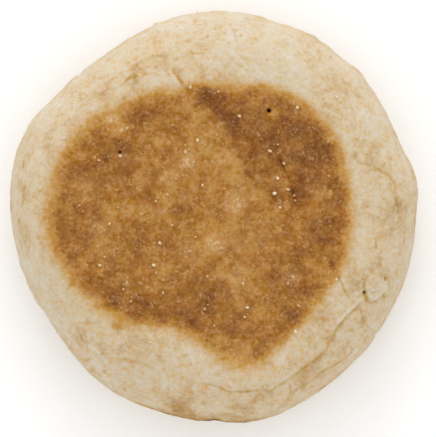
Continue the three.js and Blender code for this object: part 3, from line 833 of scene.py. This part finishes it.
def add_grain(bm, place, normal, radius, divisions, chance):
    """One uneven grain, part sunk in the crust; returns how many vertices it has."""
    axis = Vector((chance.random(), chance.random(), 1.0)).normalized()
    turn = Matrix.Rotation(chance.uniform(0, math.tau), 4, axis)
    stretch = Matrix.Diagonal([chance.uniform(NARROWEST, widest) for widest in WIDEST] + [1.0])
    shape = Matrix.Translation(place + normal * radius * GRAIN_SINK * MM) @ turn @ stretch
    made = bmesh.ops.create_icosphere(bm, subdivisions=divisions, radius=radius * MM, matrix=shape)
    for v in made["verts"]:
        v.co += Vector(chance.uniform(-1, 1) for _ in range(3)) * radius * GRAIN_UNEVENNESS * MM
        v.co.z = max(v.co.z, 0.0)
    return len(made["verts"])


def dust_rays(chance):
    """Rays that strew the fine grains: over the top, under the base and round the side."""
    rays = []
    for count, height, heading in ((TOP_DUST, ABOVE, -1), (BASE_DUST, BELOW, 1)):
        for _ in range(count):
            turn = chance.uniform(0, math.tau)
            r = DUST_SPREAD * math.sqrt(chance.random())
            rays.append(((r * math.cos(turn), r * math.sin(turn), height), (0, 0, heading)))
    for _ in range(SIDE_DUST):
        turn = chance.uniform(0, math.tau)
        out = Vector((math.cos(turn), math.sin(turn), 0))
        rays.append((out * OUTSIDE + Vector((0, 0, chance.uniform(*SIDE_DUST_HEIGHTS))), -out))
    return rays


def griddled_at(place):
    """0 on the pale dough to 1 well inside a browned patch."""
    return float(smooth(-1.0, 2.0, patch_depth(np.array([place / MM])))[0])


def semolina(surface, material):
    """All the grains as one joined piece."""
    chance = random.Random(GRAIN_SEED)
    bm = bmesh.new()
    toast = []
    for x, y, radius in GRAINS:
        place, normal = land(surface, (x, y, ABOVE), (0, 0, -1))
        count = add_grain(bm, place, normal, radius, 2, chance)
        toasted = TOAST_BY_SIZE * (PALEST_GRAIN - radius) + chance.uniform(*GRAIN_TOAST)
        toast += [toasted * griddled_at(place)] * count
    for start, heading in dust_rays(chance):
        place, normal = land(surface, start, heading)
        if place is None:
            continue
        radius = DUST_SMALLEST + (DUST_LARGEST - DUST_SMALLEST) * chance.random() ** 2
        count = add_grain(bm, place, normal, radius, 1, chance)
        toast += [chance.uniform(*DUST_TOAST) * griddled_at(place)] * count
    bmesh.ops.recalc_face_normals(bm, faces=bm.faces[:])
    shown_piece("semolina_grains", bm, material, {"toast": toast})


class Nodes:
    """A node tree being filled: its methods add nodes and return what they put out."""

    def __init__(self, tree):
        self.tree = tree

    def feed(self, socket, value):
        """Sets an input to a value, or links it to the output that feeds it."""
        if isinstance(value, bpy.types.NodeSocket):
            self.tree.links.new(value, socket)
        else:
            socket.default_value = value

    def add(self, kind, inputs, **settings):
        """A shader node with its settings and its inputs, each a value or the output that feeds it."""
        made = self.tree.nodes.new("ShaderNode" + kind)
        for name, value in settings.items():
            setattr(made, name, value)
        for name, value in inputs.items():
            self.feed(made.inputs[name], value)
        return made.outputs

    def calc(self, operation, *values):
        return self.add("Math", dict(enumerate(values)), operation=operation)[0]

    def summed(self, *values):
        total = values[0]
        for value in values[1:]:
            total = self.calc("ADD", total, value)
        return total

    def times(self, first, second):
        return self.calc("MULTIPLY", first, second)

    def vector(self, operation, *values):
        return self.add("VectorMath", dict(enumerate(values)), operation=operation)[0]

    def blend(self, factor, first, second, blend_type="MIX"):
        """Two colours mixed by a factor."""
        inputs = {"Factor": factor, 6: first, 7: second}
        return self.add("Mix", inputs, data_type="RGBA", blend_type=blend_type)[2]

    def ramp(self, value, low, high, interpolation_type="LINEAR"):
        """A straight rise of a value, from 0 at low to 1 at high."""
        inputs = {"Value": value, "From Min": low, "From Max": high}
        return self.add("MapRange", inputs, interpolation_type=interpolation_type)["Result"]

    def span(self, value, low, high):
        """A soft step of a value from low to high."""
        return self.ramp(value, low, high, "SMOOTHSTEP")

    def bends(self, place, scale):
        """Soft noise from -0.5 to 0.5 on each axis, to move a place about."""
        noise_there = self.add("TexNoise", {"Vector": place, "Scale": scale, "Detail": 1.0})
        return self.vector("SUBTRACT", noise_there["Color"], (0.5, 0.5, 0.5))

    def cells(self, place, spacing, voronoi_dimensions="3D"):
        """Scattered cells: what the pattern puts out, and the three random parts of each cell's colour."""
        inputs = {"Vector": place, "Scale": self.calc("DIVIDE", 1.0, spacing)}
        made = self.add("TexVoronoi", inputs, voronoi_dimensions=voronoi_dimensions)
        return made, self.add("SeparateColor", {"Color": made["Color"]})

    def attribute(self, name):
        return self.add("Attribute", {}, attribute_name=name)["Fac"]

    def group(self, group, **inputs):
        """A shared group in a material: its one output, from its named inputs."""
        return self.add("Group", inputs, node_tree=group)[0]


class Paint(Nodes):
    """The nodes of one material, whose patterns lie on the piece's own coordinates, in metres."""

    def __init__(self, name, roughness, specular):
        self.material = bpy.data.materials.new(name)
        self.material.use_nodes = True
        super().__init__(self.material.node_tree)
        self.shader = self.tree.nodes["Principled BSDF"].inputs
        self.shader["Roughness"].default_value = roughness
        self.shader["Specular IOR Level"].default_value = specular
        self.place = self.add("TexCoord", {})["Object"]

    def mottle(self, size, detail, amount, place=None):
        """Soft uneven patches, by their size in metres, how finely they break up and how strong they are."""
        return self.group(MOTTLE, Position=place or self.place, Size=size, Detail=detail, Amount=amount)

    def specks(self, spacing, radius, share):
        return self.group(SPECKS, Position=self.place, Spacing=spacing, Radius=radius, Share=share)

    def strokes(self, place, spacing, length, width):
        return self.group(STROKES, Position=place, Spacing=spacing, Length=length, Width=width)

    def toasted(self, browning, pale, gold, brown, dark):
        return self.group(TOAST, Browning=browning, Pale=pale, Gold=gold, Brown=brown, Dark=dark)

    def elsewhere(self, place, offset):
        """A place shifted, so that a pattern repeats with other lumps."""
        return self.vector("ADD", place, (offset, offset, offset))

    def wavy(self, size, amount):
        """The place moved about by soft noise, so that what is drawn there bends."""
        bends = self.bends(self.place, 1.0 / size)
        return self.vector("MULTIPLY_ADD", bends, (amount, amount, amount), self.place)

    def bump(self, height, strength, distance):
        """Low relief that only catches the light."""
        inputs = {"Height": height, "Strength": strength, "Distance": distance}
        self.feed(self.shader["Normal"], self.add("Bump", inputs)["Normal"])


def new_group(name, output, kind, **inputs):
    """An empty shader node group with named sockets: its nodes, its output and its inner inputs in order."""
    group = bpy.data.node_groups.new(name, "ShaderNodeTree")
    for socket, socket_kind in inputs.items():
        group.interface.new_socket(socket, in_out="INPUT", socket_type="NodeSocket" + socket_kind)
    group.interface.new_socket(output, in_out="OUTPUT", socket_type="NodeSocket" + kind)
    given = group.nodes.new("NodeGroupInput").outputs
    result = group.nodes.new("NodeGroupOutput").inputs[output]
    return Nodes(group), result, *(given[socket] for socket in inputs)


def mottle_group():
    """Soft uneven patches of a size in metres: a value round 0."""
    nodes, result, position, size, detail, amount = new_group(
        "mottle", "Value", "Float", Position="Vector", Size="Float", Detail="Float", Amount="Float"
    )
    scale = nodes.calc("DIVIDE", 1.0, size)
    pattern = {"Vector": position, "Scale": scale, "Detail": detail, "Roughness": 0.6}
    centred = nodes.calc("MULTIPLY_ADD", nodes.add("TexNoise", pattern)["Fac"], 2.0, -1.0)
    nodes.feed(result, nodes.times(centred, amount))
    return nodes.tree


def specks_group():
    """Scattered uneven flecks, by their spacing and radius in metres and the share of places with one."""
    nodes, result, position, spacing, radius, share = new_group(
        "specks", "Mask", "Float", Position="Vector", Spacing="Float", Radius="Float", Share="Float"
    )
    bends = nodes.bends(position, nodes.calc("DIVIDE", 0.7, radius))
    bend = nodes.add("VectorMath", {0: bends, "Scale": nodes.times(radius, 1.8)}, operation="SCALE")
    cells, parts = nodes.cells(nodes.vector("ADD", position, bend[0]), spacing)
    there = nodes.calc("LESS_THAN", parts["Red"], share)
    size = nodes.calc("MULTIPLY_ADD", parts["Green"], 0.8, 0.6)
    reach = nodes.times(nodes.calc("DIVIDE", radius, spacing), size)
    fade = nodes.span(cells["Distance"], nodes.times(reach, 0.4), reach)
    nodes.feed(result, nodes.times(nodes.calc("SUBTRACT", 1.0, fade), there))
    return nodes.tree


def strokes_group():
    """Short strokes seen from above, each turned its own way: 1 on a stroke. Sizes are in metres."""
    nodes, result, position, spacing, length, width = new_group(
        "strokes", "Mask", "Float", Position="Vector", Spacing="Float", Length="Float", Width="Float"
    )
    cells, parts = nodes.cells(position, spacing, "2D")
    local = nodes.vector("SUBTRACT", position, cells["Position"])
    turn = {"Vector": local, "Angle": nodes.times(parts["Red"], math.tau)}
    turned = nodes.add("VectorRotate", turn, rotation_type="Z_AXIS")[0]
    place = nodes.add("SeparateXYZ", {"Vector": turned})
    reach = nodes.times(length, nodes.calc("MULTIPLY_ADD", parts["Green"], 0.8, 0.4))
    along = nodes.calc("POWER", nodes.calc("DIVIDE", place["X"], reach), 2.0)
    across = nodes.calc("POWER", nodes.calc("DIVIDE", place["Y"], width), 2.0)
    fade = nodes.span(nodes.summed(along, across), 0.1, 1.0)
    strength = nodes.calc("POWER", parts["Blue"], 2.0)
    nodes.feed(result, nodes.times(nodes.calc("SUBTRACT", 1.0, fade), strength))
    return nodes.tree


def toast_group():
    """The colour of griddled dough, by how browned it is."""
    nodes, result, browning, pale, gold, brown, dark = new_group(
        "toast_colour",
        "Color",
        "Color",
        Browning="Float",
        Pale="Color",
        Gold="Color",
        Brown="Color",
        Dark="Color",
    )
    colour = nodes.blend(nodes.ramp(browning, 0.0, 0.35), pale, gold)
    colour = nodes.blend(nodes.ramp(browning, 0.3, 0.7), colour, brown)
    nodes.feed(result, nodes.blend(nodes.ramp(browning, 0.65, 1.05), colour, dark))
    return nodes.tree


MOTTLE = mottle_group()
SPECKS = specks_group()
STROKES = strokes_group()
TOAST = toast_group()


def shade_of(*channels):
    """A linear colour from a screen colour's red, green and blue, each 0 to 255."""
    shares = [channel / 255 for channel in channels]
    return (*(c / 12.92 if c <= 0.04045 else ((c + 0.055) / 1.055) ** 2.4 for c in shares), 1.0)


FLOURED = shade_of(204, 193, 173)
CREAM = shade_of(200, 180, 148)
TAN = shade_of(172, 139, 92)
AMBER = shade_of(203, 161, 103)
BRAN = shade_of(192, 151, 92)
GOLD = shade_of(186, 142, 77)
BROWN = shade_of(157, 104, 41)
DARK_BROWN = shade_of(113, 66, 25)
# The painted glint on the fine curled strokes.
STROKE = shade_of(212, 172, 120)
SMUDGE = shade_of(212, 180, 140)
# The painted shade at the bottom of the holes and of the darkest creases and marks.
PIT_DARK = shade_of(30, 24, 16)
# Multiplies the colour of creases, wrinkles and marks: partly their own brown, partly painted shade.
GROOVE_SHADE = (0.78, 0.64, 0.31, 1.0)
LIGHT_GRAIN = shade_of(222, 206, 176)
GRAIN_GOLD = shade_of(200, 156, 98)
GRAIN_BROWN = shade_of(156, 105, 50)
FLOOR_SHADES = ((0.96, 0.96, 0.96, 1.0), (0.98, 0.98, 0.98, 1.0))


def dough_colour(paint):
    """Cream dough, whitened with flour in places and tan in others, flecked with bran; the tan also paints
    shade at the rim's edge and under a fold, and the white some light along the top side.
    """
    tint = paint.summed(
        paint.attribute("dough_tint_and_painted_light"),
        paint.mottle(0.0065, 2.0, 0.85),
        paint.mottle(0.0032, 2.0, 0.9),
        paint.mottle(0.0009, 3.0, 0.75),
    )
    colour = paint.blend(paint.ramp(tint, -1.0, 0.0), FLOURED, CREAM)
    colour = paint.blend(paint.ramp(tint, 0.0, 1.0), colour, TAN)
    bran = paint.attribute("bran")
    freckles = paint.span(paint.mottle(0.0013, 2.0, 1.0), -0.05, 0.5)
    flecks = paint.specks(spacing=0.0017, radius=0.00045, share=0.4)
    husks = paint.specks(spacing=0.0042, radius=0.0005, share=0.4)
    for mask, share, shade in ((freckles, 0.55, AMBER), (flecks, 0.55, AMBER), (husks, 0.5, BRAN)):
        colour = paint.blend(paint.times(mask, paint.times(bran, share)), colour, shade)
    return paint.blend(paint.times(paint.attribute("flake"), 0.8), colour, BRAN)


def glints_and_flour(paint, colour, curls, on_patch):
    """Painted glints of the fine blistered skin, as light curled strokes on the browned patch, and flour
    left there in smudges.
    """
    lumps = paint.mottle(0.0028, 3.0, 1.0, paint.elsewhere(paint.place, 0.3))
    strewn = paint.calc("MULTIPLY_ADD", paint.span(lumps, -0.1, 0.45), 0.42, 0.17)
    colour = paint.blend(paint.times(paint.times(curls, on_patch), strewn), colour, STROKE)
    broken = paint.span(paint.mottle(0.0009, 2.0, 1.0), -0.1, 0.35)
    dusty = paint.times(paint.attribute("smudge"), paint.summed(broken, curls))
    return paint.blend(dusty, colour, SMUDGE)


def varied(paint, colour, uneven):
    """Small changes of hue and richness, by how uneven the crust is there."""
    hue = paint.summed(
        paint.mottle(0.0007, 3.0, paint.times(uneven, 0.0125)),
        paint.mottle(0.0045, 2.0, 0.012),
        0.5,
    )
    richness = paint.summed(
        paint.mottle(0.0009, 3.0, paint.times(uneven, 0.12)),
        paint.mottle(0.0055, 2.0, 0.03),
        1.0,
    )
    return paint.add("HueSaturation", {"Color": colour, "Hue": hue, "Saturation": richness})["Color"]


def griddled(paint):
    """How browned the patch is, with a frayed edge, and 0 to 1 for how far that is on the patch."""
    frayed = paint.summed(
        paint.attribute("patch_depth"),
        paint.mottle(0.0035, 4.0, 1.7),
        paint.mottle(0.001, 2.0, 1.0),
    )
    browned = paint.times(paint.span(frayed, -1.8, 4.2), 0.7)
    return browned, paint.ramp(browned, 0.1, 0.6)


def toasted_dough(paint, browned, on_patch):
    """The dough's colour, more or less browned from place to place on the patch."""
    toasting = paint.summed(
        paint.attribute("toasting"),
        paint.mottle(0.006, 1.0, 0.14),
        paint.mottle(0.003, 2.0, 0.34),
        paint.mottle(0.0009, 3.0, 0.29),
    )
    toast = paint.calc("MULTIPLY_ADD", toasting, on_patch, browned)
    return paint.toasted(toast, dough_colour(paint), GOLD, BROWN, DARK_BROWN)


def curled_strokes(paint):
    """Fine curled strokes, short and long: 1 on a stroke."""
    bent = paint.wavy(size=0.0009, amount=0.0014)
    short = paint.strokes(bent, spacing=0.0008, length=0.0005, width=0.00027)
    long = paint.strokes(paint.elsewhere(bent, 0.7), spacing=0.0012, length=0.0008, width=0.00032)
    return paint.calc("MAXIMUM", short, long)


def crust_material():
    """Floury cream dough, browned by the griddle, with fine curled strokes, bran and creases."""
    paint = Paint("griddled_crust", roughness=0.85, specular=0.15)
    browned, on_patch = griddled(paint)
    curls = curled_strokes(paint)
    colour = glints_and_flour(paint, toasted_dough(paint, browned, on_patch), curls, on_patch)
    uneven = paint.calc("MULTIPLY_ADD", paint.ramp(browned, 0.02, 0.2), -1.5, 3.1)
    colour = varied(paint, colour, uneven)
    brown_and_painted_shade = paint.attribute("brown_and_painted_shade")
    # Creases, wrinkles and marks darken by their own brown and by painted shade; past 1.25 it goes to the
    # painted shade of PIT_DARK.
    colour = paint.blend(paint.ramp(brown_and_painted_shade, 0.0, 1.0), colour, GROOVE_SHADE, "MULTIPLY")
    paint.feed(paint.shader["Base Color"], paint.blend(paint.ramp(brown_and_painted_shade, 1.25, 2.0), colour, PIT_DARK))
    roughness = paint.calc("MULTIPLY_ADD", on_patch, -0.25, 0.88)
    paint.feed(paint.shader["Roughness"], paint.summed(roughness, paint.mottle(0.0009, 2.0, 0.1)))
    pimples = paint.summed(paint.mottle(0.0011, 3.0, 1.0), paint.mottle(0.0004, 2.0, 0.4))
    paint.bump(paint.summed(pimples, paint.times(curls, 0.25)), strength=0.7, distance=0.00015)
    return paint.material


def semolina_material():
    """Hard cream grains, some toasted gold."""
    paint = Paint("semolina", roughness=0.45, specular=0.5)
    toast = paint.summed(paint.attribute("toast"), paint.mottle(0.0005, 2.0, 0.1))
    colour = paint.toasted(toast, LIGHT_GRAIN, GRAIN_GOLD, GRAIN_BROWN, GRAIN_BROWN)
    paint.feed(paint.shader["Base Color"], colour)
    paint.bump(paint.mottle(0.0002, 2.0, 1.0), strength=0.4, distance=0.00005)
    return paint.material


def floor_material():
    paint = Paint("pale_floor", roughness=0.9, specular=0.1)
    shading = paint.summed(paint.mottle(0.05, 2.0, 0.5), 0.5)
    paint.feed(paint.shader["Base Color"], paint.blend(shading, *FLOOR_SHADES))
    return paint.material


def floor():
    """A plain pale floor."""
    bm = bmesh.new()
    bmesh.ops.create_grid(bm, x_segments=4, y_segments=4, size=3.0)
    object_from("floor", bm, floor_material())


KEY_PLACE = (-0.05, 0.95, 0.4)
KEY_SIZE = 0.7
KEY_WATTS = 3.5
SURROUND_STRENGTH = 1.06


def studio():
    """A pale surround, and one soft light from the bread's far side."""
    data = bpy.data.lights.new("key", "AREA")
    data.size = KEY_SIZE
    data.energy = KEY_WATTS
    light = link(bpy.data.objects.new("key", data))
    light.location = KEY_PLACE
    light.rotation_euler = (-Vector(KEY_PLACE)).to_track_quat("-Z", "Y").to_euler()
    world = bpy.data.worlds.new("surround")
    world.use_nodes = True
    background = world.node_tree.nodes["Background"]
    background.inputs["Color"].default_value = (1.0, 1.0, 1.0, 1.0)
    background.inputs["Strength"].default_value = SURROUND_STRENGTH
    bpy.context.scene.world = world
    bpy.context.scene.view_settings.view_transform = "Standard"


# The view, straight down: how wide it is at the height of the crust, and its middle.
CAMERA_HEIGHT = 2.0
VIEW_WIDTH = 98.1 * MM
VIEW_LEVEL = 20 * MM
VIEW_MIDDLE = (1.0 * MM, -0.45 * MM)
SENSOR_WIDTH = 36.0


def camera():
    data = bpy.data.cameras.new("camera")
    data.sensor_fit = "HORIZONTAL"
    data.sensor_width = SENSOR_WIDTH
    data.lens = SENSOR_WIDTH * (CAMERA_HEIGHT - VIEW_LEVEL) / VIEW_WIDTH
    data.clip_end = 10.0
    view = link(bpy.data.objects.new("camera", data))
    view.location = (*VIEW_MIDDLE, CAMERA_HEIGHT)
    bpy.context.scene.camera = view


camera()
studio()
floor()
semolina(crust(crust_material()), semolina_material())
